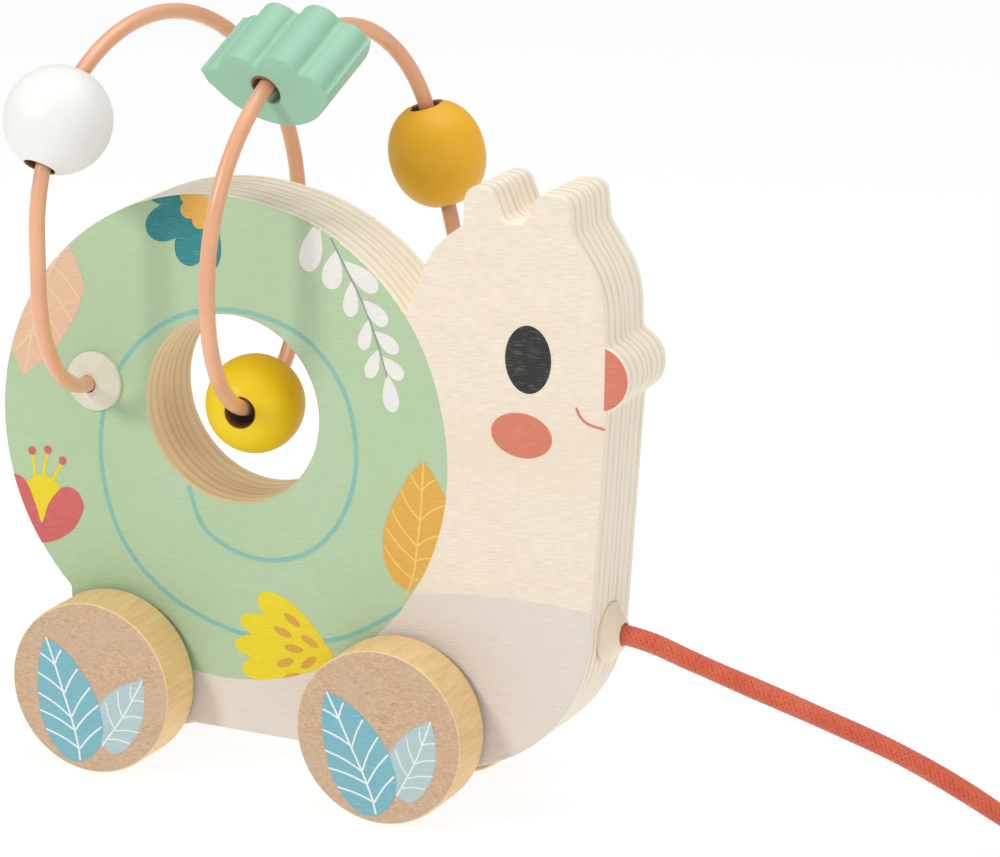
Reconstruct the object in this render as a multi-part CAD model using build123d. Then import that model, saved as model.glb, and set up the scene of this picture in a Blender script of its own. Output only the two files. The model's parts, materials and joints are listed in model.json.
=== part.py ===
from build123d import *
import math
import os

# Pull-along snail with a bead wire. Millimetres, +Z up, +X the way the snail faces,
# +Y its left side. The origin is on the floor under the middle of the toy.

# ---- driving dimensions ----
board = 12.0                    # each of the two plywood boards, glued face to face
edge_ease = 0.6                 # rounding of the outer edges of the body
shell_x, shell_z, shell_r = -23.7, 88.3, 62.8
crown_x, crown_z, crown_r = -19.8, 92.5, 58.0    # fuller part of the shell behind the head
hole_x, hole_z, hole_r = -20.7, 96.5, 24.3
nose_x, nose_z, nose_r, nose_blend = 78.3, 117.1, 8.2, 2.0
foot_z = 11.8                   # underside of the body above the floor

wheel_r, wheel_w, wheel_gap = 22.5, 14.0, 1.5
wheel_edge = 0.6
axle_r, axle_fit = 2.5, 0.06    # steel rod, and its running clearance in the bushes
axle_depth = 9.0                # blind hole in each wheel
axle_chamfer = 0.4
axle_x = {"rear": -53.2, "front": 28.2}
bush_r, bush_flange_r, bush_flange = 4.0, 6.5, 1.0
bush_length = 9.0

wire_r = 2.0
wire_end = 4.0                  # how far each end stops short of the glue joint
cap_r, cap_tip_r, cap_rim, cap_height = 7.7, 3.6, 1.0, 4.0
cap_bore_gap = 0.25             # between a cap and the wire or cord through it
cap_ease = 0.6                  # rounding of a cap's outer corners
cap_spot_gap = 0.2              # around the cord's cap, in its flat spot on the breast

bore_r = 3.8                    # the beads' bores
white_r, yellow_r = 13.5, 12.6
orange_r, orange_length, orange_flat_r = 12.3, 25.4, 5.2
orange_shoulder_r, orange_shoulder = 9.7, 9.0    # radius, and distance from the middle
bore_ease = 0.5                 # rounding of the beads' bore mouths
green_lean, orange_lean = 5.0, 6.5    # degrees that two beads tip in their loose bores
cloud_length, cloud_notch, cloud_ease = 21.0, 1.8, 0.5
cloud_bowl_r, cloud_bowl_depth, cloud_brim = 20.0, 10.7, 3.0
# The cloud's lobes: outward and sideways place of the centre, and radius.
cloud_lobes = [(1.0, -14.8, 3.4), (4.0, -6.6, 5.9), (5.6, 5.8, 6.0), (2.8, 13.4, 4.7)]

cord_r = 2.6
cord_exit_x, cord_z = 78.0, 49.6
anchor_bore_r, anchor_depth, anchor_knot_r = 4.6, 20.0, 4.4
cap_stem = 7.0
coil_outer_r, coil_turns, turn_pitch, coil_lead = 34.0, 2.6, 5.6, 20.0
end_knot_r, knot_flat = 5.5, 0.9
floor_gap = 0.1                 # cord above the floor

# Corners of the neck, head and foot: x, z and the radius that rounds each one.
head_and_foot = [
    (24.2, 119.3, 0.0),
    (34.1, 144.8, 20.0),        # back of the head
    (42.2, 150.9, 1.2),
    (42.6, 161.0, 4.0),         # rear horn
    (49.4, 161.0, 3.0),
    (52.8, 152.8, 2.4),         # notch between the horns
    (58.2, 152.8, 2.4),
    (62.2, 160.9, 3.4),         # front horn
    (70.2, 160.9, 3.4),
    (71.2, 151.6, 3.0),
    (79.9, 138.8, 24.0),        # brow
    (80.7, 117.0, 0.0),
    (81.2, 108.0, 0.0),
    (76.0, foot_z, 41.0),       # breast to foot
    (-65.5, foot_z, 14.0),      # heel
    (-67.6, 46.0, 0.0),
]

# Corners of the bent wire and its bend radii, from the near cap over the top, back
# through the shell's hole, up and over again, and down to the far cap.
near_cap_x, near_cap_z = -59.6, 99.0
far_cap_x, far_cap_z = 24.8, 99.0
wire_corners = [
    (near_cap_x, -17.0, near_cap_z, 30.0),
    (-56.2, -44.8, 105.9, 33.0),
    (-56.6, -46.8, 189.6, 47.0),
    (-40.2, 51.0, 194.8, 47.4),
    (-25.7, 42.9, 97.7, 46.4),
    (-14.2, -37.9, 93.2, 40.2),
    (-11.5, -41.0, 180.9, 54.2),
    (0.2, 39.5, 197.8, 30.2),
    (far_cap_x, 40.0, far_cap_z, 23.6),
]

# The free pull cord, point by point, down from the snail's breast to the floor.
cord_route = [
    (79.0, 0.0, cord_z),
    (86.5, 0.0, cord_z),
    (100.5, 2.2, 44.2),
    (127.0, 9.3, 34.0),
    (155.0, 17.8, 22.0),
    (186.0, 25.5, cord_r + floor_gap),
    (207.0, 27.4, cord_r + floor_gap),
]

half_body = board
wheel_in = half_body + wheel_gap
parts_folder = "parts"


# ---- helpers ----
def turned(profile_rx, axis_plane):
    """Solid of revolution of (radius, height) points about a plane's normal."""
    face = make_face(Polyline([(r, 0, h) for r, h in profile_rx], close=True))
    return axis_plane * revolve(face, Axis.Z)


def rod(start, end, radius):
    """Round rod between two points."""
    run = Vector(*end) - Vector(*start)
    plane = Plane(origin=start, z_dir=run)
    return plane * extrude(Circle(radius), run.length)


def tube_along(points, radii, radius):
    """Round bar swept along straight runs joined by tangent arcs."""
    path = FilletPolyline(*points, radius=radii)
    section = Plane(origin=path @ 0, z_dir=path % 0) * Circle(radius)
    return sweep(section, path=path), path


def bend(index):
    """Centre, radius, turn and two unit directions of the wire's bend at a corner."""
    before, corner, after = (Vector(*wire_corners[i][:3]) for i in (index - 1, index, index + 1))
    radius = wire_corners[index][3]
    back, on = (before - corner).normalized(), (after - corner).normalized()
    turn = math.pi - math.radians(back.get_angle(on))
    centre = corner + (back + on).normalized() * (radius / math.cos(turn / 2))
    start = corner + back * (radius * math.tan(turn / 2))
    outward = (start - centre).normalized()
    return centre, radius, turn, outward, -back


def on_bend(index, degrees, inset):
    """Plane of a bead on a bend: z along the wire, x outward from the bend's centre."""
    centre, radius, _, outward, forward = bend(index)
    angle = math.radians(degrees)
    out = outward * math.cos(angle) + forward * math.sin(angle)
    along = forward * math.cos(angle) - outward * math.sin(angle)
    return Plane(origin=centre + out * (radius - inset), x_dir=out, z_dir=along)


def on_run(index, distance):
    """Plane of a bead on the straight run after a corner."""
    start, end = (Vector(*wire_corners[i][:3]) for i in (index, index + 1))
    along = (end - start).normalized()
    return Plane(origin=start + along * distance, x_dir=(0, 1, 0), z_dir=along)


# Where each bead rests: the wire's bend or run, the place on it, and the inset towards the
# bend's centre that shares the bore's clearance between its middle and its ends.
bead_place = {
    "white_bead": on_bend(2, 36.0, 0.3),
    "yellow_bead": on_bend(5, 6.0, 0.3),
    "green_bead": on_bend(6, 66.5, 1.3) * Rot(0, green_lean, 0),
    "orange_bead": on_run(7, 44.0) * Rot(0, orange_lean, 0),
}


# ---- body ----
def body_outline():
    corners = [(x, z) for x, z, _ in head_and_foot]
    radii = [r for _, _, r in head_and_foot]
    head = make_face(FilletPolyline(corners, radius=radii, close=True))
    shell = Pos(shell_x, shell_z) * Circle(shell_r) + Pos(crown_x, crown_z) * Circle(crown_r)
    outline = head + Pos(nose_x, nose_z) * Circle(nose_r)
    sides_of_nose = outline.vertices().filter_by(
        lambda v: abs(math.hypot(v.X - nose_x, v.Y - nose_z) - nose_r) < 0.01)
    outline = fillet(sides_of_nose, nose_blend) + shell
    return outline - Pos(hole_x, hole_z) * Circle(hole_r)


def body_board(side):
    """One plywood board; side is -1 on the right and +1 on the left."""
    face = Plane.XZ * body_outline()
    solid = extrude(face, -side * board)
    outer = solid.faces().sort_by(Axis.Y)[0 if side < 0 else -1]
    solid = fillet(outer.edges(), edge_ease)
    for x in axle_x.values():
        solid -= rod((x, side * (half_body + 1), wheel_r), (x, 0, wheel_r), bush_r)
    cap_end, past_nose = cord_exit_x, nose_x + nose_r
    solid -= rod((cap_end, 0, cord_z), (past_nose, 0, cord_z), cap_r + cap_spot_gap)
    solid -= rod((cap_end - anchor_depth, 0, cord_z), (past_nose, 0, cord_z), anchor_bore_r)
    x, z = (near_cap_x, near_cap_z) if side < 0 else (far_cap_x, far_cap_z)
    return solid - rod((x, side * (half_body + 1), z), (x, side * wire_end, z), wire_r)


# ---- wheels and axles ----
def wheel(x, side):
    inner = side * wheel_in
    disc = rod((x, inner, wheel_r), (x, inner + side * wheel_w, wheel_r), wheel_r)
    disc = fillet(disc.edges().filter_by(GeomType.CIRCLE), wheel_edge)
    return disc - rod((x, inner - side, wheel_r), (x, inner + side * axle_depth, wheel_r), axle_r)


def axle(x):
    reach = wheel_in + axle_depth
    solid = rod((x, -reach, wheel_r), (x, reach, wheel_r), axle_r)
    return chamfer(solid.edges().filter_by(GeomType.CIRCLE), axle_chamfer)


def axle_bush(x, side):
    flange_end = side * (half_body + bush_flange)
    solid = rod((x, side * (half_body - bush_length), wheel_r), (x, flange_end, wheel_r), bush_r)
    solid += rod((x, side * half_body, wheel_r), (x, flange_end, wheel_r), bush_flange_r)
    return solid - rod((x, 0, wheel_r), (x, side * wheel_in, wheel_r), axle_r + axle_fit)


# ---- wire, its caps and the beads ----
def bead_wire():
    points = [(near_cap_x, -wire_end, near_cap_z)]
    points += [corner[:3] for corner in wire_corners]
    points += [(far_cap_x, wire_end, far_cap_z)]
    radii = [corner[3] for corner in wire_corners]
    solid, path = tube_along(points, radii, wire_r)
    print(f"bead wire length {path.length:.1f}")
    return solid


def cap(base, through_r, stem_r=0.0):
    """Low cone on a base plane, with a bore through it and, if asked, a stem below."""
    profile = [(0, -cap_stem), (stem_r, -cap_stem), (stem_r, 0)] if stem_r else [(0, 0)]
    profile += [(cap_r, 0), (cap_r, cap_rim), (cap_tip_r, cap_height), (0, cap_height)]
    solid = turned(profile, Plane.XY)
    rims = solid.edges().filter_by(GeomType.CIRCLE).group_by(Axis.Z)
    solid = fillet(rims[-1] + rims[-2], cap_ease)
    solid -= rod((0, 0, -cap_stem - 1), (0, 0, cap_height + 1), through_r)
    return base * solid


def wire_cap(side):
    x, z = (near_cap_x, near_cap_z) if side < 0 else (far_cap_x, far_cap_z)
    return cap(Plane(origin=(x, side * half_body, z), z_dir=(0, side, 0)), wire_r + cap_bore_gap)


def bored(solid, length):
    """Bore a bead along its own Z and soften the two mouths."""
    solid -= rod((0, 0, -length), (0, 0, length), bore_r)
    mouths = solid.edges().filter_by(GeomType.CIRCLE).filter_by(lambda e: abs(e.radius - bore_r) < 0.01)
    return fillet(mouths, bore_ease)


def round_bead(place, radius):
    return place * bored(Sphere(radius), 2 * radius)


def barrel_bead(place):
    """Slightly drawn-out ball with full shoulders and flattened ends."""
    half = orange_length / 2
    low = [(orange_flat_r, 0, -half), (orange_shoulder_r, 0, -orange_shoulder)]
    high = [(orange_shoulder_r, 0, orange_shoulder), (orange_flat_r, 0, half)]
    side = Spline(*low, (orange_r, 0, 0), *high)
    ends = Polyline(high[1], (0, 0, half), (0, 0, -half), low[0])
    return place * bored(revolve(make_face(side + ends), Axis.Z), orange_length)


def cloud_bead(place):
    """Little cloud: three lobes outside, one round bowl towards the bend's centre."""
    centre_out = cloud_bowl_r - cloud_bowl_depth
    below_brim = Pos(cloud_brim - cloud_bowl_r, 0) * Rectangle(2 * cloud_bowl_r, 2 * cloud_bowl_r)
    section = (Pos(centre_out, 0) * Circle(cloud_bowl_r)) & below_brim
    for out, across, radius in cloud_lobes:
        section += Pos(out, across) * Circle(radius)
    section = offset(offset(section, cloud_notch), -cloud_notch)    # rounds the notches
    solid = extrude(section, cloud_length / 2, both=True)
    ends = solid.faces().filter_by(Axis.Z)
    solid = fillet(ends.edges(), cloud_ease)
    return place * bored(solid, cloud_length)


# ---- pull cord ----
def cord_cap():
    return cap(Plane(origin=(cord_exit_x, 0, cord_z), z_dir=(1, 0, 0)), cord_r + cap_bore_gap,
               anchor_bore_r)


def cord_anchor():
    """Knot that holds the cord inside the breast, and the cord through the cap."""
    knot_x = cord_exit_x - anchor_depth + anchor_knot_r + cap_spot_gap
    knot = Pos(knot_x, 0, cord_z) * Sphere(anchor_knot_r)
    return knot + rod((knot_x, 0, cord_z), cord_route[0], cord_r)


def cord_radii():
    """As large as the two runs at each point allow."""
    radii = []
    for before, point, after in zip(cord_route, cord_route[1:], cord_route[2:]):
        run_in, run_out = Vector(*point) - Vector(*before), Vector(*after) - Vector(*point)
        turn = math.radians(run_in.get_angle(run_out))
        radii.append(0.45 * min(run_in.length, run_out.length) / math.tan(turn / 2))
    return radii


def pull_cord():
    radii = cord_radii()
    solid, path = tube_along(cord_route, radii, cord_r)
    section = math.pi * cord_r ** 2
    print("cord arc radii", [round(r, 1) for r in radii])
    print(f"cord tube {path.length:.1f} long, volume {solid.volume:.0f} for {section * path.length:.0f}")
    return solid


def coil_frame():
    """Middle of the coil, and where the cord's last run meets its outer turn."""
    last, before = Vector(*cord_route[-1]), Vector(*cord_route[-2])
    along = (last - before).normalized()
    meets = last + along * coil_lead
    return meets + Vector(along.Y, -along.X, 0) * coil_outer_r, meets


def flat_strip(start, end):
    """Plan view of a straight bit of cord."""
    run = end - start
    angle = math.degrees(math.atan2(run.Y, run.X))
    middle = (start + end) * 0.5
    return Pos(middle.X, middle.Y) * Rot(0, 0, angle) * Rectangle(run.length, 2 * cord_r)


def pull_cord_coil():
    """Outer shape of the flat coil, with the cord's way in and its inner end."""
    middle, meets = coil_frame()
    inner_r = coil_outer_r - coil_turns * turn_pitch
    mean_r = (coil_outer_r + inner_r) / 2
    print(f"coil middle {middle.X:.1f}, {middle.Y:.1f}, cord in it {math.tau * mean_r * coil_turns:.0f}")
    ring = Circle(coil_outer_r + cord_r) - Circle(inner_r - cord_r)
    tail = flat_strip(middle - Vector(inner_r, 0, 0), middle - Vector(end_knot_r, 0, 0))
    plan = Pos(middle.X, middle.Y) * ring + flat_strip(Vector(*cord_route[-1]), meets) + tail
    return Pos(0, 0, floor_gap) * extrude(plan, 2 * cord_r)


def pull_cord_knot():
    middle, _ = coil_frame()
    ball = Pos(middle.X, middle.Y, end_knot_r - knot_flat) * Sphere(end_knot_r)
    under = Pos(middle.X, middle.Y, -end_knot_r) * Box(4 * end_knot_r, 4 * end_knot_r, 2 * end_knot_r)
    return ball - under


def node_solids():
    nodes = {"body_board_right": body_board(-1), "body_board_left": body_board(1)}
    for end, x in axle_x.items():
        nodes[f"{end}_axle"] = axle(x)
        for name, side in (("right", -1), ("left", 1)):
            nodes[f"{end}_wheel_{name}"] = wheel(x, side)
            nodes[f"{end}_axle_bush_{name}"] = axle_bush(x, side)
    nodes["bead_wire"] = bead_wire()
    nodes["wire_cap_right"] = wire_cap(-1)
    nodes["wire_cap_left"] = wire_cap(1)
    nodes["white_bead"] = round_bead(bead_place["white_bead"], white_r)
    nodes["yellow_bead"] = round_bead(bead_place["yellow_bead"], yellow_r)
    nodes["green_cloud_bead"] = cloud_bead(bead_place["green_bead"])
    nodes["orange_bead"] = barrel_bead(bead_place["orange_bead"])
    nodes["cord_cap"] = cord_cap()
    nodes["cord_anchor"] = cord_anchor()
    nodes["pull_cord"] = pull_cord()
    nodes["pull_cord_coil"] = pull_cord_coil()
    nodes["pull_cord_knot"] = pull_cord_knot()
    return nodes


def main():
    os.makedirs(parts_folder, exist_ok=True)
    for name, solid in node_solids().items():
        export_step(solid, f"{parts_folder}/{name}.step")


if __name__ == "__main__":
    main()
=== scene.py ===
import json
import math

import bpy
from mathutils import Matrix, Vector
from mathutils.geometry import delaunay_2d_cdt


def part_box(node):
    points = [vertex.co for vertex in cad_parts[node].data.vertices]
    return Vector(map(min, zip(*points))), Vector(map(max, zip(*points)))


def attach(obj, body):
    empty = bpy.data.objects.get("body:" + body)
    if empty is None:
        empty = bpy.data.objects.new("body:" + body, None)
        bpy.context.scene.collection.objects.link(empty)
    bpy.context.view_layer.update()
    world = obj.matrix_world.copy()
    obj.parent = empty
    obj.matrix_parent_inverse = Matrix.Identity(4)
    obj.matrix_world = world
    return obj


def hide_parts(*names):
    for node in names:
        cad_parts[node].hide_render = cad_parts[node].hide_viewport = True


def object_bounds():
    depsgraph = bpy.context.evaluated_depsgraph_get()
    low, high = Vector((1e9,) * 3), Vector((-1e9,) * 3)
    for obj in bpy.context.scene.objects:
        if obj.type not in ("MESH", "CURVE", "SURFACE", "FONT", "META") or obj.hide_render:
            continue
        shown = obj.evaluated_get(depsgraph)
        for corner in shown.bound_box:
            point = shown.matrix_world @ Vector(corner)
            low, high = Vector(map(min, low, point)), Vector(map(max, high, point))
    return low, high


# A pull-along snail: painted plywood boards, wooden wheels and beads, a coated wire and a
# braided cord. Art is drawn in millimetres in the plane of the boards (x, z) and turned into
# thin layers of paint on both sides; everything else is in metres, in the part's frame.
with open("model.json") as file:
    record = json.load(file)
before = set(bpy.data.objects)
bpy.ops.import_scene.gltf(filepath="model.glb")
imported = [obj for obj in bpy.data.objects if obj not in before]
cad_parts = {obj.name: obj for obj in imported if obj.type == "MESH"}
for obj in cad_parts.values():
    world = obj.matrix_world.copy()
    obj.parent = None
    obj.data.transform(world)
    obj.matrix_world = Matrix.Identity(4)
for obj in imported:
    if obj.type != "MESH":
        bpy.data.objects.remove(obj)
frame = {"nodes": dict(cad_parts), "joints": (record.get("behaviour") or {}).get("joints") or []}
cad_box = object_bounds()
nodes = frame["nodes"]
joints = {joint["name"]: joint for joint in frame["joints"]}
MM = 0.001

# The part's circles in the plane of the boards: centre (x, z) and radius, in millimetres.
SHELL, SHELL_RADIUS = (-23.7, 88.3), 62.8
CROWN, CROWN_RADIUS = (-19.8, 92.5), 58.0
HOLE, HOLE_REACH = (-20.7, 96.5), 25.2  # the painted shade on the hole's walls ends a little outside the hole
NOSE, NOSE_RADIUS = (78.3, 117.1), 8.2
AXLES = {"rear": Vector((-53.2, 22.5)), "front": Vector((28.2, 22.5))}
BOARD, EDGE_EASE = 12.0, 0.6            # each board's thickness, and its rounded rim
WHEEL_RADIUS, WHEEL_FACE = 22.5, 27.5   # a wheel's size, and its face's distance from the middle


def linear(red, green, blue):
    """Linear colour from the usual 0 to 255 values."""
    def one(value):
        value /= 255
        return value / 12.92 if value <= 0.04045 else ((value + 0.055) / 1.055) ** 2.4
    return (one(red), one(green), one(blue), 1.0)


def new_object(name, data):
    made = bpy.data.objects.new(name, data)
    bpy.context.scene.collection.objects.link(made)
    return made


# ---------------------------------------------------------------- camera
def make_camera():
    """The camera, at an azimuth, elevation and roll round the toy."""
    azimuth, elevation, roll = (math.radians(a) for a in (24.75, 15.9, 0.83))
    back = Vector((math.sin(azimuth) * math.cos(elevation),
                   -math.cos(azimuth) * math.cos(elevation), math.sin(elevation)))
    right = Vector((math.cos(azimuth), math.sin(azimuth), 0))
    up = back.cross(right)
    tilted_right = right * math.cos(roll) + up * math.sin(roll)
    tilted_up = up * math.cos(roll) - right * math.sin(roll)
    data = bpy.data.cameras.new("camera")
    data.sensor_width, data.lens = 36.0, 166.63
    data.shift_x, data.shift_y = 0.02234, -0.00864
    camera = new_object("camera", data)
    turn = Matrix((tilted_right, tilted_up, back)).transposed().to_4x4()
    camera.matrix_world = Matrix.Translation((0.5008, -0.9963, 0.41155)) @ turn
    bpy.context.scene.camera = camera


make_camera()


# ---------------------------------------------------------------- materials
class Finish:
    """One procedural material, built up node by node."""

    def __init__(self, name, **constants):
        self.material = bpy.data.materials.new(name)
        self.material.use_nodes = True
        self.tree = self.material.node_tree
        self.shader = self.tree.nodes["Principled BSDF"]
        coords = self.tree.nodes.new("ShaderNodeTexCoord")
        self.place = self.vector("SCALE", coords.outputs["Object"], scale=1 / MM)
        self.normal = coords.outputs["Normal"]
        self.x, self.y, self.z = self.parts(self.place)
        for label, value in constants.items():
            self.shader.inputs[label.replace("_", " ")].default_value = value

    def node(self, kind, *sources, **settings):
        made = self.tree.nodes.new(kind)
        for key, value in settings.items():
            setattr(made, key, value)
        for socket, source in zip(made.inputs, sources):
            self.feed(socket, source)
        return made

    def feed(self, socket, source):
        if isinstance(source, bpy.types.NodeSocket):
            self.tree.links.new(source, socket)
        elif source is not None:
            socket.default_value = source

    def parts(self, vector):
        return self.node("ShaderNodeSeparateXYZ", vector).outputs

    def math(self, operation, *sources):
        return self.node("ShaderNodeMath", *sources, operation=operation).outputs[0]

    def vector(self, operation, *sources, scale=None):
        made = self.node("ShaderNodeVectorMath", *sources, operation=operation)
        if scale is not None:
            made.inputs["Scale"].default_value = scale
        return made.outputs["Value" if operation == "LENGTH" else "Vector"]

    def stretched(self, x, y, z):
        """The place, scaled along each axis: features are 1/x, 1/y and 1/z millimetres long."""
        return self.vector("MULTIPLY", self.place, (x, y, z))

    def noise(self, place, scale=1.0, detail=3.0, roughness=0.5):
        made = self.node("ShaderNodeTexNoise")
        self.feed(made.inputs["Vector"], place)
        for label, value in (("Scale", scale), ("Detail", detail), ("Roughness", roughness)):
            made.inputs[label].default_value = value
        return made.outputs[0]

    def remap(self, value, low, high, out_low=0.0, out_high=1.0, smooth=True):
        kind = "SMOOTHSTEP" if smooth else "LINEAR"
        made = self.node("ShaderNodeMapRange", value, low, high, out_low, out_high,
                         interpolation_type=kind)
        return made.outputs[0]

    def mix(self, share, first, second, blend="MIX"):
        made = self.node("ShaderNodeMix", data_type="RGBA", blend_type=blend)
        for index, source in ((0, share), (6, first), (7, second)):
            self.feed(made.inputs[index], source)
        return made.outputs[2]

    def shaded(self, colour, value, amount):
        """The colour made darker and lighter around a value of one half."""
        factor = self.remap(value, 0.0, 1.0, 1 - amount, 1 + amount, smooth=False)
        grey = self.node("ShaderNodeCombineXYZ", factor, factor, factor).outputs[0]
        return self.mix(1.0, colour, grey, blend="MULTIPLY")

    def bump(self, height, depth_mm):
        made = self.node("ShaderNodeBump")
        made.inputs["Strength"].default_value = 1.0
        made.inputs["Distance"].default_value = depth_mm * MM
        self.feed(made.inputs["Height"], height)
        self.feed(self.shader.inputs["Normal"], made.outputs[0])

    def done(self, colour, roughness):
        self.feed(self.shader.inputs["Base Color"], colour)
        self.feed(self.shader.inputs["Roughness"], roughness)
        return self.material


def face_grain(finish):
    """Fine flat grain of a sliced veneer, running along the toy."""
    slanted = finish.math("MULTIPLY_ADD", finish.x, -0.09, finish.z)
    slanted = finish.node("ShaderNodeCombineXYZ", finish.x, finish.y, slanted).outputs[0]
    slanted = finish.vector("MULTIPLY", slanted, (0.26, 0.5, 2.3))
    streaks = finish.noise(slanted, detail=3.0, roughness=0.65)
    streaks = finish.remap(streaks, 0.34, 0.66)
    ripple = finish.noise(finish.stretched(0.05, 0.1, 0.35), detail=2.0)
    return finish.math("MULTIPLY_ADD", ripple, 0.35, finish.math("MULTIPLY", streaks, 0.65))


def veneer_layers(finish, veneers=7):
    """1 in a board's cross-grained veneers and 0 in the others, by depth from the glue joint."""
    wander = finish.noise(finish.stretched(0.06, 0.06, 0.06), detail=1.0)
    wander = finish.math("MULTIPLY", wander, 0.7)
    depth = finish.math("ADD", finish.math("ABSOLUTE", finish.y), wander)
    count = finish.math("DIVIDE", finish.math("SUBTRACT", depth, 0.35), BOARD / veneers)
    saw = finish.math("PINGPONG", finish.math("SUBTRACT", count, 0.5), 1.0)
    return finish.remap(saw, 0.50, 0.82)


def within(finish, centre, radius, ragged, reach=0.2):
    """1 within a circle in the plane of the boards, with a slightly ragged edge."""
    side_x = finish.math("SUBTRACT", finish.x, centre[0])
    side_z = finish.math("SUBTRACT", finish.z, centre[1])
    plan = finish.node("ShaderNodeCombineXYZ", side_x, 0.0, side_z).outputs[0]
    distance = finish.math("ADD", finish.vector("LENGTH", plan), ragged)
    return finish.remap(distance, radius + reach, radius)


def broad_side(finish, grain, ragged):
    """Colour of the boards' broad sides: bare head, pale foot and green shell."""
    # The shell's green takes in the low edge behind it, down to the rear wheels.
    low_rear = finish.remap(finish.x, -58.0, -58.2)
    over_wheels = finish.remap(finish.z, 37.8, 38.0)
    behind = finish.math("MULTIPLY", low_rear, over_wheels)
    shell = within(finish, SHELL, SHELL_RADIUS, ragged)
    crown = within(finish, CROWN, CROWN_RADIUS, ragged)
    green_area = finish.math("MAXIMUM", finish.math("MAXIMUM", shell, crown), behind)

    # The foot's paint ends in a shallow arch under the head.
    across = finish.math("SUBTRACT", finish.x, 62.0)
    arch = finish.math("MULTIPLY", finish.math("MULTIPLY", across, across), 0.0027)
    over_foot = finish.math("ADD", finish.math("SUBTRACT", finish.z, 58.5), arch)
    foot_area = finish.remap(over_foot, 0.1, -0.1)

    bare = finish.shaded(linear(242, 229, 209), grain, 0.085)
    warm = finish.noise(finish.stretched(0.02, 0.05, 0.06), detail=2.0)
    bare = finish.mix(finish.remap(warm, 0.35, 0.75, 0.0, 0.5), bare, linear(236, 219, 192))
    foot = finish.shaded(linear(229, 219, 209), grain, 0.03)
    green = finish.shaded(linear(184, 208, 170), grain, 0.045)
    cloudy = finish.noise(finish.stretched(0.03, 0.05, 0.03), detail=2.0)
    green = finish.mix(finish.remap(cloudy, 0.3, 0.7, 0.0, 0.5), green, linear(178, 204, 160))
    return finish.mix(green_area, finish.mix(foot_area, bare, foot), green)


def veneer_edge(finish, ragged):
    """Colour and relief of the edges: pale, with thin cross-grained layers that come and go, and
    painted shade on the walls of the hole.
    """
    layers = veneer_layers(finish)
    fibres = finish.noise(finish.stretched(0.22, 5.0, 0.22), detail=3.0, roughness=0.6)
    pores = finish.noise(finish.stretched(2.4, 4.0, 2.4), detail=2.0, roughness=0.7)
    fading = finish.noise(finish.stretched(0.07, 0.9, 0.07), detail=2.0)
    layers = finish.math("MULTIPLY", layers, finish.remap(fading, 0.3, 0.7, 0.35, 1.0))
    light_edge = finish.shaded(linear(249, 239, 220), fibres, 0.10)
    dark_edge = finish.shaded(linear(232, 215, 188), pores, 0.16)
    edge = finish.mix(layers, light_edge, dark_edge)
    glue = finish.remap(finish.math("ABSOLUTE", finish.y), 0.08, 0.3, 0.6, 0.0)
    glue = finish.math("MULTIPLY", glue, finish.remap(fading, 0.3, 0.7, 0.4, 1.0))
    edge = finish.mix(glue, edge, linear(178, 152, 118))
    # Painted shade: the sawn mix darkens and browns the walls of the hole, where shade falls in the
    # recess.
    sawn = finish.mix(1.0, edge, linear(244, 233, 214), blend="MULTIPLY")
    edge = finish.mix(within(finish, HOLE, HOLE_REACH, ragged), edge, sawn)
    relief = finish.math("MULTIPLY_ADD", layers, -0.9, finish.math("MULTIPLY", fibres, 0.8))
    return edge, relief


def plywood():
    """The boards: paint on the broad sides, bare veneer edges all round."""
    finish = Finish("painted_plywood", Specular_IOR_Level=0.3)
    grain = face_grain(finish)
    ragged = finish.math("MULTIPLY", finish.noise(finish.stretched(1.2, 1.2, 1.2)), 0.25)
    face = broad_side(finish, grain, ragged)
    edge, relief = veneer_edge(finish, ragged)
    facing = finish.math("ABSOLUTE", finish.parts(finish.normal)[1])
    on_face = finish.remap(facing, 0.55, 0.62)
    height = finish.node("ShaderNodeMix", on_face, data_type="FLOAT")
    finish.feed(height.inputs[2], relief)
    finish.feed(height.inputs[3], grain)
    finish.bump(height.outputs[0], 0.09)
    roughness = finish.remap(grain, 0.2, 0.8, 0.62, 0.5, smooth=False)
    return finish.done(finish.mix(on_face, edge, face), roughness)


def art_paint(name, rgb, mottle=0.05):
    """Printed colour that lets the veneer's grain show through."""
    finish = Finish(name, Specular_IOR_Level=0.3)
    grain = face_grain(finish)
    patchy = finish.noise(finish.stretched(0.5, 0.5, 0.5), detail=3.0)
    colour = finish.shaded(linear(*rgb), grain, mottle)
    colour = finish.shaded(colour, patchy, mottle * 0.5)
    bare = finish.noise(finish.stretched(0.25, 0.5, 4.0), detail=2.0, roughness=0.6)
    bare = finish.remap(bare, 0.54, 0.72, 0.0, 0.15)
    colour = finish.mix(bare, colour, linear(236, 226, 206))
    finish.bump(grain, 0.09)
    return finish.done(colour, finish.remap(grain, 0.2, 0.8, 0.62, 0.5, smooth=False))


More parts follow.
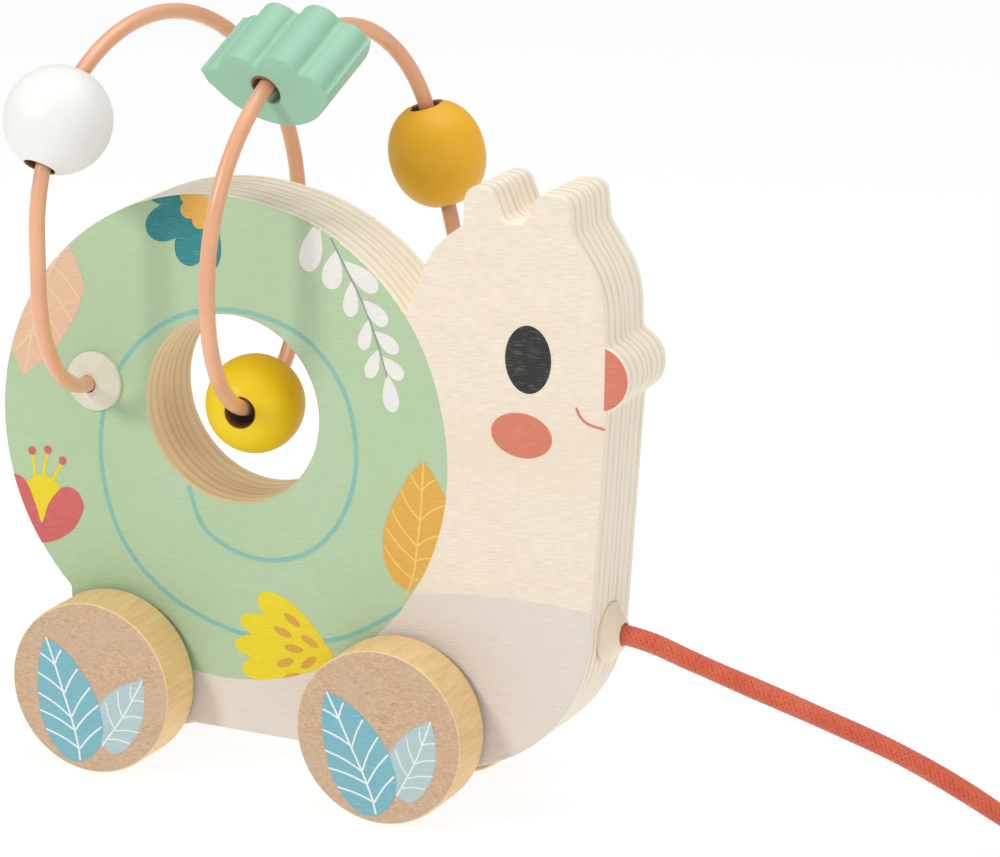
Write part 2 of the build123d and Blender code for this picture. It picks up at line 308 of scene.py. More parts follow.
def turned_wood():
    """Wheels: speckled end grain on the faces, smoother side grain round the rims, and a painted
    highlight on the rounded edges between them.
    """
    finish = Finish("wheel_wood", Specular_IOR_Level=0.35)
    speckle = finish.noise(finish.stretched(0.9, 1.0, 2.2), detail=4.0, roughness=0.7)
    drift = finish.noise(finish.stretched(0.09, 0.09, 0.14), detail=2.0)
    end_grain = finish.mix(finish.remap(speckle, 0.32, 0.68), linear(196, 160, 124),
                           linear(218, 188, 156))
    drift = finish.remap(drift, 0.35, 0.7, 0.0, 0.5)
    end_grain = finish.mix(drift, end_grain, linear(206, 180, 152))
    flecks = finish.noise(finish.stretched(0.8, 1.0, 2.6), detail=1.0, roughness=0.4)
    where = finish.noise(finish.stretched(0.12, 0.12, 0.12), detail=1.0)
    flecks, where = finish.remap(flecks, 0.66, 0.74), finish.remap(where, 0.45, 0.6)
    flecks = finish.math("MULTIPLY", finish.math("MULTIPLY", flecks, where), 0.6)
    end_grain = finish.mix(flecks, end_grain, linear(138, 100, 70))
    lines = finish.noise(finish.stretched(0.9, 0.09, 0.9), detail=3.0, roughness=0.55)
    rim = finish.mix(finish.remap(lines, 0.25, 0.75), linear(232, 194, 136), linear(244, 212, 158))
    rim = finish.shaded(rim, finish.remap(speckle, 0.3, 0.7), 0.03)
    facing = finish.math("ABSOLUTE", finish.parts(finish.normal)[1])
    on_face = finish.remap(facing, 0.86, 0.96)
    # Painted highlight: the rounded edge between rim and face is made paler all round the wheel.
    edge_highlight = finish.remap(facing, 0.35, 0.75, 0.0, 0.4)
    rim = finish.mix(edge_highlight, rim, linear(244, 222, 188))
    colour = finish.mix(on_face, rim, end_grain)
    finish.bump(finish.math("MULTIPLY", speckle, finish.remap(on_face, 0, 1, 0.25, 1.0)), 0.14)
    return finish.done(colour, finish.remap(speckle, 0.3, 0.7, 0.62, 0.48, smooth=False))


def bead_paint(name, rgb, bead, joint_name, to_bore, sawn=0.0):
    """Satin paint on a bead, with raw wood inside its bore; to_bore is from hinge to bore."""
    joint = joints[joint_name]
    low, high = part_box(bead)
    middle, along = (low + high) / 2, Vector(joint["axis"]).normalized()
    if joint["type"] == "hinge":
        pivot, axis = Vector(joint["pos_m"]), along
        out = middle - pivot
        out = (out - axis * out.dot(axis)).normalized()
        middle, along = pivot + out * to_bore, axis.cross(out)
    finish = Finish(name, Specular_IOR_Level=0.35)
    from_middle = finish.vector("SUBTRACT", finish.place, tuple(middle / MM))
    spoke = finish.vector("CROSS_PRODUCT", from_middle, tuple(along))
    in_bore = finish.remap(finish.vector("LENGTH", spoke), 4.25, 3.95)

    length = finish.node("ShaderNodeVectorMath", from_middle, tuple(along), operation="DOT_PRODUCT")
    turned = finish.math("MULTIPLY", length.outputs["Value"], 1.3)
    turned = finish.node("ShaderNodeCombineXYZ", turned, 0.0, 0.0).outputs[0]
    rings = finish.noise(turned, detail=2.0)
    grain = finish.noise(finish.stretched(0.25, 2.2, 0.9), detail=4.0, roughness=0.62)
    cloudy = finish.noise(finish.stretched(0.09, 0.09, 0.09), detail=2.0)
    paint = finish.shaded(linear(*rgb), grain, 0.025 + sawn)
    paint = finish.shaded(paint, cloudy, 0.05)
    raw = finish.shaded(linear(128, 88, 56), grain, 0.25)
    colour = finish.mix(in_bore, paint, raw)
    height = finish.math("MULTIPLY_ADD", rings, 0.4, finish.math("MULTIPLY", grain, 0.6 + 8 * sawn))
    finish.bump(height, 0.045)
    return finish.done(colour, finish.remap(grain, 0.2, 0.8, 0.5, 0.4, smooth=False))


def wire_coat():
    finish = Finish("wire_coating", Specular_IOR_Level=0.5, Coat_Weight=0.4, Coat_Roughness=0.15)
    drift = finish.noise(finish.stretched(0.05, 0.05, 0.05), detail=2.0)
    skin = finish.noise(finish.stretched(0.3, 0.3, 0.3), detail=2.0)
    colour = finish.mix(finish.remap(drift, 0.3, 0.7), linear(232, 168, 127), linear(238, 178, 139))
    finish.bump(skin, 0.02)
    return finish.done(colour, finish.remap(skin, 0.3, 0.7, 0.3, 0.38, smooth=False))


def cap_plastic(name, rgb):
    finish = Finish(name, Specular_IOR_Level=0.5, Subsurface_Weight=0.25,
                    Subsurface_Scale=0.002, Coat_Weight=0.2, Coat_Roughness=0.2)
    flow = finish.noise(finish.stretched(0.12, 0.12, 0.12), detail=2.0)
    colour = finish.shaded(linear(*rgb), flow, 0.04)
    finish.bump(finish.noise(finish.stretched(1.0, 1.0, 1.0), detail=1.0), 0.006)
    return finish.done(colour, finish.remap(flow, 0.3, 0.7, 0.3, 0.38, smooth=False))


def axle_steel():
    finish = Finish("axle_steel", Metallic=1.0)
    drawn = finish.noise(finish.stretched(3.0, 0.05, 3.0), detail=4.0)
    colour = finish.mix(drawn, linear(168, 168, 170), linear(205, 205, 205))
    finish.bump(drawn, 0.01)
    return finish.done(colour, finish.remap(drawn, 0.2, 0.8, 0.22, 0.42, smooth=False))


def bush_nylon():
    finish = Finish("bush_nylon", Subsurface_Weight=0.2, Subsurface_Scale=0.002)
    flow = finish.noise(finish.stretched(0.8, 0.8, 0.8), detail=3.0)
    colour = finish.mix(flow, linear(222, 218, 206), linear(238, 235, 226))
    finish.bump(flow, 0.02)
    return finish.done(colour, finish.remap(flow, 0.3, 0.7, 0.42, 0.55, smooth=False))


def cord_yarn():
    """Braided polyester: painted shade in the grooves between the strands, with fine fibres along
    them.
    """
    finish = Finish("cord_yarn", Sheen_Weight=0.35, Sheen_Roughness=0.5, Specular_IOR_Level=0.25)
    height = finish.node("ShaderNodeAttribute", attribute_name="strand_height").outputs["Fac"]
    fibres = finish.noise(finish.stretched(4.5, 4.5, 4.5), detail=3.0, roughness=0.7)
    tone = finish.noise(finish.stretched(0.12, 0.12, 0.12), detail=2.0)
    top = finish.mix(finish.remap(tone, 0.3, 0.7), linear(214, 96, 68), linear(224, 110, 80))
    # Painted shade: the dark red is laid where strand_height is low, in the grooves between the
    # yarns.
    colour = finish.mix(finish.remap(height, 0.1, 0.8), linear(174, 60, 42), top)
    colour = finish.shaded(colour, fibres, 0.16)
    finish.bump(fibres, 0.12)
    return finish.done(colour, finish.remap(fibres, 0.2, 0.8, 0.9, 0.75, smooth=False))


# ---------------------------------------------------------------- pull cord
CORD_DIAMETER = 0.0052
CORD_FLOOR = 0.0027             # height of its centreline where it lies on the floor
CORD_ROUTE = [
    (0.079, 0.0, 0.0496), (0.0865, 0.0, 0.0496), (0.1005, 0.0022, 0.0442),
    (0.127, 0.0093, 0.034), (0.155, 0.0178, 0.022), (0.186, 0.0255, CORD_FLOOR),
    (0.207, 0.0274, CORD_FLOOR),
]
COIL_RADIUS, COIL_PITCH, COIL_TURNS, COIL_LEAD = 0.034, 0.0056, 2.6, 0.020
POINTS_A_TURN = 16


def coil_points():
    """Flat coil that winds inwards from the end of the route, and curls in to its middle."""
    before, last = (Vector(point) for point in CORD_ROUTE[-2:])
    along = (last - before).normalized()
    inward = Vector((along.y, -along.x, 0))
    middle = last + along * COIL_LEAD + inward * COIL_RADIUS
    start = math.atan2(-inward.y, -inward.x)
    points, steps = [], round(COIL_TURNS * POINTS_A_TURN)
    for step in range(1, steps + 1):
        turn = step / POINTS_A_TURN
        radius, angle = COIL_RADIUS - COIL_PITCH * turn, start - math.tau * turn
        points.append(middle + Vector((math.cos(angle), math.sin(angle), 0)) * radius)
    half = radius / 2
    curl = middle + Vector((math.cos(angle), math.sin(angle), 0)) * half
    for step in range(1, 5):
        bend = angle - step * math.pi / 5
        points.append(curl + Vector((math.cos(bend), math.sin(bend), 0)) * half)
    return points, middle


def nurbs_line(points, resolution):
    """Evaluated points of a smooth curve with these control points."""
    data = bpy.data.curves.new("cord_route", "CURVE")
    data.dimensions, data.resolution_u = "3D", resolution
    spline = data.splines.new("NURBS")
    spline.points.add(len(points) - 1)
    for control, point in zip(spline.points, points):
        control.co = (*point, 1.0)
    spline.order_u, spline.use_endpoint_u = 3, True
    holder = bpy.data.objects.new("cord_route", data)
    mesh = bpy.data.meshes.new_from_object(holder)
    line = [vertex.co.copy() for vertex in mesh.vertices]
    bpy.data.objects.remove(holder)
    bpy.data.meshes.remove(mesh)
    return line


def evenly(line, step):
    """The line again, with points an even step apart."""
    spaced, wait = [line[0]], step
    for start, end in zip(line, line[1:]):
        length = (end - start).length
        while wait <= length:
            spaced.append(start.lerp(end, wait / length))
            wait += step
        wait -= length
    return spaced


def rings_along(line):
    """Frames that turn with the line as little as they can."""
    side, frames = Vector((0, 0, 1)), []
    for index, point in enumerate(line):
        ahead = line[min(index + 1, len(line) - 1)] - line[max(index - 1, 0)]
        ahead.normalize()
        side = (side - ahead * side.dot(ahead)).normalized()
        frames.append((point, side, ahead.cross(side)))
    return frames


def strand(place):
    """Rounded height of a yarn across its width, for a place counted in yarns."""
    return math.sin(math.pi * (place % 1.0)) ** 0.7


def braid_height(share, length, yarns=10, lay=0.0135):
    """Height from 0 to 1 of a round braid at a share of its girth and a length along it."""
    first, second = yarns * (share + length / lay), yarns * (share - length / lay)
    over = (math.floor(first) + math.floor(second)) % 2 == 0
    top, under = (first, second) if over else (second, first)
    return 0.72 * strand(top) + 0.28 * strand(under)


def braided_tube(name, line, diameter, step=0.0004, sides=48, yarn_depth=0.0004):
    """A tube with a braid's relief, closed at both ends, and the line that it follows."""
    line = evenly(line, step)
    vertices, heights, faces = [], [], []
    for row, (point, side, other) in enumerate(rings_along(line)):
        length = row * step
        plump = 1 + 0.03 * math.sin(length * 190) * math.sin(length * 47)
        for spoke in range(sides):
            share = spoke / sides
            height = braid_height(share, length)
            radius = diameter / 2 * plump - yarn_depth * (1 - height)
            out = side * math.cos(math.tau * share) + other * math.sin(math.tau * share)
            vertices.append(point + out * min(radius, diameter / 2))
            heights.append(height)
    for row in range(len(line) - 1):
        for spoke in range(sides):
            beside = (spoke + 1) % sides
            low, high = row * sides, (row + 1) * sides
            faces.append((low + spoke, low + beside, high + beside, high + spoke))
    faces.append(tuple(reversed(range(sides))))
    faces.append(tuple(range(len(vertices) - sides, len(vertices))))
    mesh = bpy.data.meshes.new(name)
    mesh.from_pydata(vertices, [], faces)
    mesh.polygons.foreach_set("use_smooth", [True] * len(faces))
    attribute = mesh.attributes.new("strand_height", "FLOAT", "POINT")
    attribute.data.foreach_set("value", heights)
    return new_object(name, mesh), line


def end_knot(middle):
    """Pulled-tight overhand knot, drawn as a small trefoil that lies flat."""
    size, lift = 0.00115, 0.0034
    loop = []
    for step in range(97):
        turn = math.tau * step / 96
        reach = 1.9 + 1.05 * math.cos(3 * turn)
        loop.append(middle + Vector((reach * math.cos(2 * turn), reach * math.sin(2 * turn),
                                     1.1 * math.sin(3 * turn))) * size)
    outward = (loop[-1] - middle).normalized() * size
    loop += [loop[-1] + outward * step * 0.4 for step in range(1, 7)]
    for point in loop:
        point.z = point.z - middle.z + lift
    return braided_tube("cord_end_knot", loop, 0.0042, step=0.0003, sides=28, yarn_depth=0.0004)[0]


def make_cord(yarn):
    """The pull cord with its knot, from the front cap to the coil on the floor."""
    turns, middle = coil_points()
    line = nurbs_line([Vector(point) for point in CORD_ROUTE] + turns, 16)
    cord, path = braided_tube("pull_cord_braid", line, CORD_DIAMETER)
    knot = end_knot(middle)
    for piece in (cord, knot):
        piece.data.materials.append(yarn)
        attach(piece, "toy_body")
    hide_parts("pull_cord", "pull_cord_coil")
    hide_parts("pull_cord_knot")


yarn = cord_yarn()
make_cord(yarn)


# ---------------------------------------------------------------- outlines for the art
def smooth(points, closed=False, steps=6):
    """Rounded line through the points."""
    count = len(points)
    spans = range(count if closed else count - 1)
    line = []
    for span in spans:
        picks = [span - 1, span, span + 1, span + 2]
        if closed:
            a, b, c, d = (Vector(points[pick % count]) for pick in picks)
        else:
            a, b, c, d = (Vector(points[min(max(pick, 0), count - 1)]) for pick in picks)
        for step in range(steps):
            t = step / steps
            line.append(0.5 * (2 * b + (c - a) * t + (2 * a - 5 * b + 4 * c - d) * t * t
                               + (3 * b - 3 * c + d - a) * t ** 3))
    return line if closed else line + [Vector(points[-1])]


def blade(tip, one_side, base, other_side):
    """Leaf outline, pointed at its tip and base."""
    there = smooth([tip, *one_side, base])
    home = smooth([base, *other_side, tip])
    return there[:-1] + home[:-1]


def drop(root, end, width, steps=28):
    """Petal outline, pointed at its root and round at its end."""
    root, end = Vector(root), Vector(end)
    along = end - root
    across = Vector((-along.y, along.x)).normalized()
    points = []
    for step in range(steps):
        turn = math.tau * step / steps
        side = math.sin(turn) * math.sin(turn / 2) / 0.77
        points.append(root + along * (1 - math.cos(turn)) / 2 + across * side * width / 2)
    return points


def oval(centre, half_length, half_width, degrees=0.0, steps=40):
    """Ellipse outline, tilted by some degrees."""
    tilt, points = math.radians(degrees), []
    for step in range(steps):
        turn = math.tau * step / steps
        u, v = half_length * math.cos(turn), half_width * math.sin(turn)
        points.append(Vector((centre[0] + u * math.cos(tilt) - v * math.sin(tilt),
                              centre[1] + u * math.sin(tilt) + v * math.cos(tilt))))
    return points


def stroke(points, width, steps=4):
    """Ribbon along a rounded line, with its two ends rounded off."""
    line = smooth(points, steps=steps)
    left, right = [], []
    for index, point in enumerate(line):
        ahead = (line[min(index + 1, len(line) - 1)] - line[max(index - 1, 0)]).normalized()
        across = Vector((-ahead.y, ahead.x)) * width / 2
        left.append(point + across)
        right.append(point - across)
    run_out = (line[-1] - line[-2]).normalized() * width * 0.35
    run_in = (line[0] - line[1]).normalized() * width * 0.35
    return left + [line[-1] + run_out] + right[::-1] + [line[0] + run_in]


def lines(pairs, width, bow=0.06):
    """Slightly bowed strokes from each root to its tip."""
    made = []
    for root, tip in pairs:
        root, tip = Vector(root), Vector(tip)
        across = Vector((root.y - tip.y, tip.x - root.x)) * bow
        made.append(stroke([root, (root + tip) / 2 + across, tip], width))
    return made


# ---------------------------------------------------------------- layers of paint
PAINT_RISE, LAYER_RISE, PAINT_DEPTH = 0.05, 0.025, 0.05     # mm over and under the surface


class Panel:
    """A flat face that art is laid on and cut to: a circle, with or without an eased rim."""

    def __init__(self, centre, radius, level, margin=0.2, ease=0.0, eased_to=180.0):
        self.centre, self.radius, self.ease, self.level = Vector(centre), radius, ease, level
        self.flat = radius - ease
        self.limit = radius - margin
        self.eased_to = math.radians(eased_to)

    def rings(self):
        """Circles that art is cut by: its limit, and steps down the eased rim."""
        radii = [self.limit]
        if self.ease:
            radii += [self.flat + (self.limit - self.flat) * share for share in (0.0, 0.35, 0.7)]
        count = max(48, round(self.radius * 5))
        return [oval(self.centre, radius, radius, steps=count) for radius in radii]

    def drop_at(self, point):
        """How far the surface has fallen away at a point near the rim."""
        out = point - self.centre
        over = min(max(out.length - self.flat, 0.0), self.ease)
        if abs(math.atan2(out.y, out.x)) > self.eased_to:
            return 0.0
        return self.ease - math.sqrt(self.ease ** 2 - over ** 2)


def anticlockwise(outline):
    """The outline's points in the order that the triangulation needs."""
    points = [Vector(point) for point in outline]
    area = sum(a.x * b.y - a.y * b.x for a, b in zip(points, points[1:] + points[:1]))
    return points if area > 0 else points[::-1]


def layer_mesh(outlines, panel, side, rise):
    """Closed thin layer over the union of the outlines, cut at the panel's limit."""
    loops = panel.rings() + [anticlockwise(outline) for outline in outlines]
    cut_count = len(loops) - len(outlines)
    points, faces = [], []
    for loop in loops:
        faces.append(list(range(len(points), len(points) + len(loop))))
        points += loop
    found, _, triangles, _, _, origins = delaunay_2d_cdt(points, [], faces, 1, 1e-5)
    kept = [tri for tri, source in zip(triangles, origins)
            if 0 in source and any(index >= cut_count for index in source)]
    used = sorted({index for tri in kept for index in tri})
    slots = {index: place for place, index in enumerate(used)}
    count = len(used)
    top, bottom = [], []
    for index in used:
        point = found[index]
        surface = panel.level - panel.drop_at(point)
        top.append(Vector((point.x, side * (surface + rise), point.y)) * MM)
        bottom.append(Vector((point.x, side * (surface - PAINT_DEPTH), point.y)) * MM)
    made, edges = [], {}
    for tri in kept:
        a, b, c = (slots[index] for index in tri)
        if side > 0:
            a, c = c, a
        made += [(a, b, c), (c + count, b + count, a + count)]
        for start, end in ((a, b), (b, c), (c, a)):
            edges[(start, end)] = edges.get((start, end), 0) + 1
    for start, end in edges:
        if (end, start) not in edges:
            made.append((end, start, start + count, end + count))
    return top + bottom, made


def art_piece(name, layers, panel, side, body, shift=Vector((0, 0)), first_level=0):
    """One object of several paint layers: (material, outlines), lowest first."""
    vertices, faces, kinds, materials = [], [], [], []
    for number, (paint, outlines) in enumerate(layers):
        placed = [[Vector(point) + shift for point in outline] for outline in outlines]
        rise = PAINT_RISE + LAYER_RISE * (number + first_level)
        more, made = layer_mesh(placed, panel, side, rise)
        if paint not in materials:
            materials.append(paint)
        faces += [tuple(index + len(vertices) for index in face) for face in made]
        kinds += [materials.index(paint)] * len(made)
        vertices += more
    mesh = bpy.data.meshes.new(name)
    mesh.from_pydata(vertices, [], faces)
    for paint in materials:
        mesh.materials.append(paint)
    mesh.polygons.foreach_set("material_index", kinds)
    piece = new_object(name, mesh)
    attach(piece, body)
    return piece


paints = {name: art_paint(f"paint_{name}", rgb) for name, rgb in {
    "aqua": (136, 192, 182), "teal": (52, 136, 140), "marigold": (232, 178, 84),
    "peach": (232, 192, 158), "peach_vein": (240, 208, 176), "white": (238, 235, 230),
    "grey": (150, 158, 156), "ochre": (228, 174, 78), "ochre_vein": (242, 204, 112),
    "yellow": (238, 216, 36), "seed": (222, 168, 68), "red": (212, 104, 102),
    "coral": (218, 128, 102), "eye": (50, 48, 47), "blue": (124, 184, 196),
    "pale_blue": (182, 204, 206), "vein": (236, 240, 240),
}.items()}


def spiral_line():
    """The snail's whorl, from the hole out to the rim."""
    points = [(-32.9, 74.6), (-27.8, 63.8), (-14.2, 58.5), (0.3, 61.8), (10.2, 72.6), (14.1, 88.0),
              (10.6, 105.2), (-0.8, 117.7), (-17.5, 122.1), (-34.4, 119.2), (-48.2, 109.2),
              (-56.4, 94.6), (-58.0, 77.0), (-52.4, 58.8), (-39.9, 45.9), (-22.0, 38.8),
              (-5.0, 37.8), (11.5, 41.6), (27.5, 51.5)]
    return [stroke(points, 1.15, steps=10)]


def leaf_on_left():
    outline = blade((-67.0, 134.0),
                    [(-63.5, 126.5), (-63.1, 121.5), (-65.7, 114.3), (-72.0, 105.2)],
                    (-80.5, 97.5), [(-84.5, 106.0), (-86.0, 118.0), (-78.0, 130.0)])
    veins = [((-72.2, 128.2), (-64.0, 119.4)), ((-74.4, 122.4), (-66.2, 113.6)),
             ((-76.4, 116.4), (-69.4, 108.6)), ((-78.2, 110.2), (-73.8, 103.6)),
             ((-76.4, 116.4), (-81.6, 112.6)), ((-78.2, 110.2), (-82.6, 104.6))]
    rib = stroke([(-69.0, 132.0), (-75.6, 119.0), (-80.0, 99.0)], 0.45)
    return [(paints["peach"], [outline]), (paints["peach_vein"], lines(veins, 0.42) + [rib])]


def teal_flower():
    petals = [drop((-27.0, 149.5), end, width) for end, width in (
        ((-45.0, 150.2), 6.6), ((-44.4, 139.2), 9.0), ((-34.2, 132.3), 9.0), ((-26.5, 131.7), 6.2))]
    heart = [drop((-27.0, 149.5), end, width) for end, width in (
        ((-35.0, 149.8), 4.2), ((-34.7, 145.2), 4.6), ((-30.5, 142.0), 4.6), ((-25.9, 142.8), 4.4))]
    return [(paints["teal"], petals), (paints["marigold"], heart)]


def white_sprig():
    leaves = [((3.4, 147.6), (0.2, 134.6), 6.0), ((8.4, 141.0), (6.6, 130.8), 5.6),
              ((10.3, 138.4), (19.6, 131.8), 5.0), ((12.7, 133.8), (12.2, 124.4), 4.2),
              ((15.6, 129.2), (22.2, 123.6), 4.4), ((17.4, 124.6), (15.7, 116.5), 3.6),
              ((18.9, 121.7), (25.3, 117.0), 4.0), ((20.1, 117.3), (17.3, 109.6), 3.7),
              ((20.7, 115.5), (26.7, 110.5), 4.0), ((22.5, 111.2), (24.1, 101.7), 4.4)]
    stem = [(4.6, 147.6), (10.3, 137.5), (15.0, 129.5), (18.4, 122.0), (20.8, 115.5), (22.5, 110.4)]
    return [(paints["white"], [drop(*leaf) for leaf in leaves]),
            (paints["grey"], [stroke(stem, 0.36)])]


def leaf_on_right():
    outline = blade((32.5, 90.4), [(36.4, 85.6), (39.4, 79.0), (37.6, 70.0), (33.6, 62.0)],
                    (29.2, 56.0), [(24.1, 59.2), (21.6, 66.6), (23.2, 75.7), (28.6, 86.0)])
    veins = [((32.3, 82.5), (29.2, 86.4)), ((31.6, 75.1), (26.5, 82.2)),
             ((31.1, 68.3), (24.1, 76.5)), ((30.5, 64.5), (22.7, 71.7)),
             ((29.8, 59.6), (22.0, 67.0)), ((32.3, 82.8), (36.0, 86.1)),
             ((31.8, 75.0), (38.6, 79.9)), ((31.3, 68.4), (36.8, 71.8)),
             ((30.9, 64.5), (35.0, 65.6)), ((30.0, 59.1), (31.4, 59.7))]
    rib = stroke([(32.5, 90.1), (32.3, 82.5), (31.8, 75.1), (30.7, 64.3), (29.6, 58.6),
                  (27.6, 53.4)], 0.5)
    return [(paints["ochre"], [outline]), (paints["ochre_vein"], lines(veins, 0.45) + [rib])]


def yellow_flower():
    petals = [drop((8.2, 36.0), end, width) for end, width in (
        ((-12.9, 49.0), 8.2), ((-18.2, 42.0), 7.0), ((-19.8, 35.0), 6.8), ((-17.6, 28.2), 7.2),
        ((-10.0, 21.6), 8.4))]
    seeds = [oval(centre, 2.65, 1.05, degrees) for centre, degrees in (
        ((-3.5, 43.8), -32), ((-6.1, 40.2), -18), ((1.5, 38.9), -26), ((-3.0, 36.3), -3),
        ((-5.4, 32.2), 23), ((1.2, 33.2), 40), ((-3.5, 28.6), 20))]
    return [(paints["yellow"], petals), (paints["seed"], seeds)]


def red_tulip():
    cup = smooth([(-75.7, 58.9), (-73.7, 64.3), (-70.6, 68.5), (-68.0, 69.7), (-65.4, 68.9),
                  (-63.6, 66.4), (-63.6, 63.7), (-66.6, 58.5), (-71.6, 55.0), (-76.2, 53.8),
                  (-81.0, 56.0), (-85.5, 62.0), (-86.8, 67.5), (-84.6, 71.0), (-80.2, 69.5),
                  (-77.1, 62.8)], closed=True)
    heart = smooth([(-75.7, 59.6), (-78.0, 63.0), (-80.4, 68.0), (-78.2, 70.9), (-75.5, 71.9),
                    (-72.6, 71.3), (-70.0, 68.6), (-72.6, 63.4)], closed=True)
    stalks = [stroke(pair, 0.9) for pair in (((-77.4, 70.6), (-77.8, 74.0), (-78.2, 77.4)),
                                             ((-75.2, 71.0), (-74.6, 74.6), (-73.8, 78.2)),
                                             ((-72.8, 70.4), (-71.2, 73.0), (-69.5, 76.0)))]
    dots = [oval(centre, 1.12, 1.12, steps=20) for centre in
            ((-78.3, 78.0), (-73.7, 78.8), (-69.4, 76.5))]
    return [(paints["yellow"], [heart] + stalks), (paints["red"], [cup] + dots)]


def wheel_leaves(turn_degrees):
    """Two leaves round the wheel's middle, turned by an angle."""
    big = blade((-12.7, 12.0), [(-6.9, 8.7), (-2.0, 3.7), (1.5, -1.5), (3.3, -7.0), (3.7, -11.9),
                                (1.3, -17.4)],
                (-3.0, -20.4), [(-7.2, -19.8), (-11.2, -16.0), (-13.9, -10.6), (-15.1, -3.3),
                                (-15.0, 3.3), (-14.1, 8.4)])
    big_rib = stroke([(-12.6, 11.7), (-10.1, 4.9), (-7.5, -2.9), (-5.3, -9.2), (-3.6, -15.5),
                      (-3.0, -19.8)], 0.55)
    big_veins = [((-10.1, 4.7), (-14.2, 7.2)), ((-7.5, -2.3), (-15.0, 1.9)),
                 ((-5.6, -8.6), (-15.0, -3.5)), ((-4.4, -12.0), (-14.5, -8.1)),
                 ((-3.2, -16.7), (-12.8, -13.0))]
    back_veins = [((-10.1, 4.9), (-8.3, 8.9)), ((-7.3, -2.3), (-3.5, 4.6)),
                  ((-5.3, -8.5), (0.1, 0.2)), ((-4.4, -12.0), (2.4, -4.2)),
                  ((-3.0, -16.7), (3.3, -9.9))]
    small = blade((15.2, 4.8), [(9.5, 2.2), (5.0, -1.3), (2.4, -5.0), (2.0, -11.0)],
                  (3.6, -14.8), [(6.7, -16.6), (11.1, -13.9), (14.7, -7.6), (15.8, -0.9)])
    small_rib = stroke([(15.2, 4.4), (12.1, -1.6), (9.4, -6.4), (3.4, -15.0)], 0.45)
    small_veins = [((12.1, -1.6), (11.9, 2.5)), ((9.4, -6.4), (8.1, 0.4)),
                   ((7.2, -10.0), (4.6, -3.0)), ((12.1, -1.6), (15.6, -1.1)),
                   ((9.4, -6.4), (15.2, -5.5)), ((7.2, -10.3), (14.0, -9.7)),
                   ((4.9, -12.9), (11.4, -13.0))]
    turn = Matrix.Rotation(math.radians(turn_degrees), 2)

    def turned(outlines):
        return [[turn @ Vector(point) for point in outline] for outline in outlines]

    on_small = lines(small_veins, 0.36) + [small_rib]
    on_big = lines(big_veins, 0.5, -0.04) + lines(back_veins, 0.5, 0.04) + [big_rib]
    return [(paints["pale_blue"], turned([small])), (paints["vein"], turned(on_small)),
            (paints["blue"], turned([big])), (paints["vein"], turned(on_big))]


def face_art():
    mouth = stroke([(73.2, 109.2), (74.2, 107.2), (76.4, 105.6), (80.6, 104.8)], 0.62)
    return [(paints["eye"], [oval((60.2, 119.6), 6.1, 8.5)]),
            (paints["coral"], [oval((58.8, 100.4), 8.1, 5.6, -3), mouth])]


def nose_art():
    half = [(80.4, 100.0), (95.0, 100.0), (95.0, 135.0), (80.4, 135.0)]
    return [(paints["coral"], [half])]


def make_art():
    """All the painted art, on both sides of the boards and on all four wheels."""
    rim = Panel(SHELL, SHELL_RADIUS, BOARD, ease=EDGE_EASE)
    crown = Panel(CROWN, CROWN_RADIUS, BOARD, ease=EDGE_EASE)
    inside = Panel(SHELL, SHELL_RADIUS, BOARD, margin=0.0)
    head = Panel((60.0, 110.0), 40.0, BOARD)
    nose = Panel(NOSE, NOSE_RADIUS, BOARD, ease=EDGE_EASE, eased_to=61.0)
    motifs = {
        "whorl": ([(paints["aqua"], spiral_line())], inside), "peach_leaf": (leaf_on_left(), rim),
        "teal_flower": (teal_flower(), rim), "white_sprig": (white_sprig(), crown),
        "ochre_leaf": (leaf_on_right(), inside), "yellow_flower": (yellow_flower(), inside),
        "red_tulip": (red_tulip(), rim), "face": (face_art(), head), "nose": (nose_art(), nose),
    }
    for side_name, side in (("right", -1), ("left", 1)):
        for name, (layers, panel) in motifs.items():
            over_whorl = 0 if name == "whorl" else 1
            art_piece(f"art_{name}_{side_name}", layers, panel, side, "toy_body",
                      first_level=over_whorl)
        for end, turn in (("rear", 0), ("front", 8)):
            wheel = Panel(AXLES[end], WHEEL_RADIUS, WHEEL_FACE, margin=0.9)
            art_piece(f"art_{end}_wheel_{side_name}", wheel_leaves(turn), wheel, side,
                      f"{end}_wheelset", shift=AXLES[end])


make_art()


# ---------------------------------------------------------------- materials on the CAD nodes
def assign(names, material):
    for name in names:
        nodes[name].data.materials.clear()
        nodes[name].data.materials.append(material)


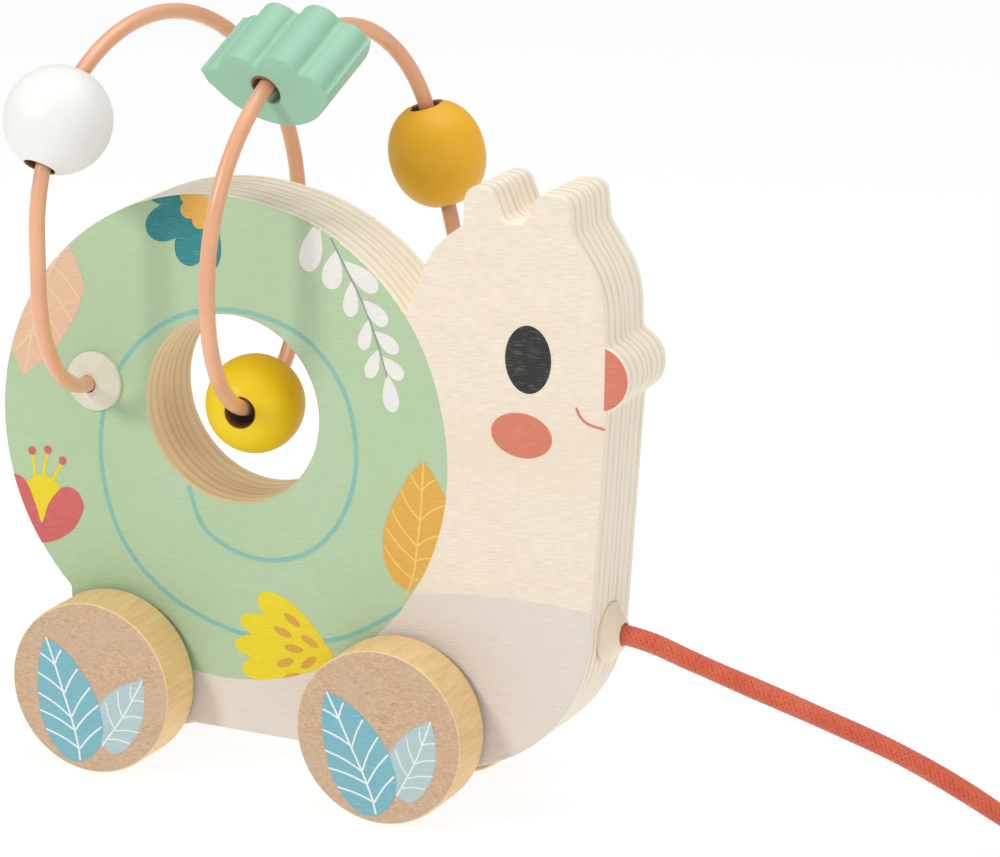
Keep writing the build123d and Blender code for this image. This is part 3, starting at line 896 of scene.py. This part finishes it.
def dress_nodes():
    """Gives each node that stays visible its material."""
    sides, ends = ("right", "left"), ("rear", "front")
    assign([f"body_board_{side}" for side in sides], plywood())
    assign([f"{end}_wheel_{side}" for end in ends for side in sides], turned_wood())
    assign([f"{end}_axle" for end in ends], axle_steel())
    assign([f"{end}_axle_bush_{side}" for end in ends for side in sides], bush_nylon())
    assign(["bead_wire"], wire_coat())
    assign(["wire_cap_right", "wire_cap_left"], cap_plastic("wire_cap_plastic", (226, 221, 200)))
    assign(["cord_cap"], cap_plastic("cord_cap_plastic", (240, 225, 200)))
    assign(["cord_anchor"], yarn)
    beads = {
        "white_bead": ((240, 239, 236), "white_bead_travel", 0.0467, 0.0),
        "yellow_bead": ((240, 208, 20), "yellow_bead_travel", 0.0399, 0.0),
        "green_cloud_bead": ((152, 198, 171), "green_bead_travel", 0.0529, 0.03),
        "orange_bead": ((248, 186, 44), "orange_bead_travel", 0.0, 0.0),
    }
    for bead, (rgb, joint, to_bore, sawn) in beads.items():
        assign([bead], bead_paint(f"{bead}_paint", rgb, bead, joint, to_bore, sawn))


dress_nodes()


# ---------------------------------------------------------------- floor and light
def area_light(name, place, target, size, power):
    data = bpy.data.lights.new(name, "AREA")
    data.shape, data.size, data.energy = "DISK", size, power
    light = new_object(name, data)
    light.location = place
    light.rotation_euler = (Vector(target) - Vector(place)).to_track_quat("-Z", "Y").to_euler()


def make_stage():
    """Pale floor, even studio surroundings and three soft lights."""
    mesh = bpy.data.meshes.new("floor")
    reach = 6.0
    corners = [(-reach, -reach, 0), (reach, -reach, 0), (reach, reach, 0), (-reach, reach, 0)]
    mesh.from_pydata(corners, [], [(0, 1, 2, 3)])
    floor = new_object("floor", mesh)
    paper = Finish("floor_paper", Specular_IOR_Level=0.0, Emission_Strength=0.86,
                   Emission_Color=(1.0, 1.0, 1.0, 1.0))
    tooth = paper.noise(paper.stretched(0.02, 0.02, 0.02), detail=2.0)
    mesh.materials.append(paper.done(paper.shaded(linear(120, 120, 120), tooth, 0.01), 0.9))

    world = bpy.data.worlds.new("studio")
    world.use_nodes = True
    sky = world.node_tree.nodes["Background"]
    sky.inputs["Color"].default_value = (1.0, 1.0, 1.0, 1.0)
    sky.inputs["Strength"].default_value = 0.34
    bpy.context.scene.world = world

    low, high = cad_box
    middle = ((low + high) / 2).to_tuple()
    area_light("overhead", (0.15, 0.05, 1.25), middle, 1.2, 8.8)
    area_light("key", (-0.55, -1.15, 0.85), middle, 0.3, 7.6)
    area_light("fill", (1.2, -0.5, 0.45), middle, 0.8, 2.0)


make_stage()
bpy.context.scene.view_settings.view_transform = "Standard"
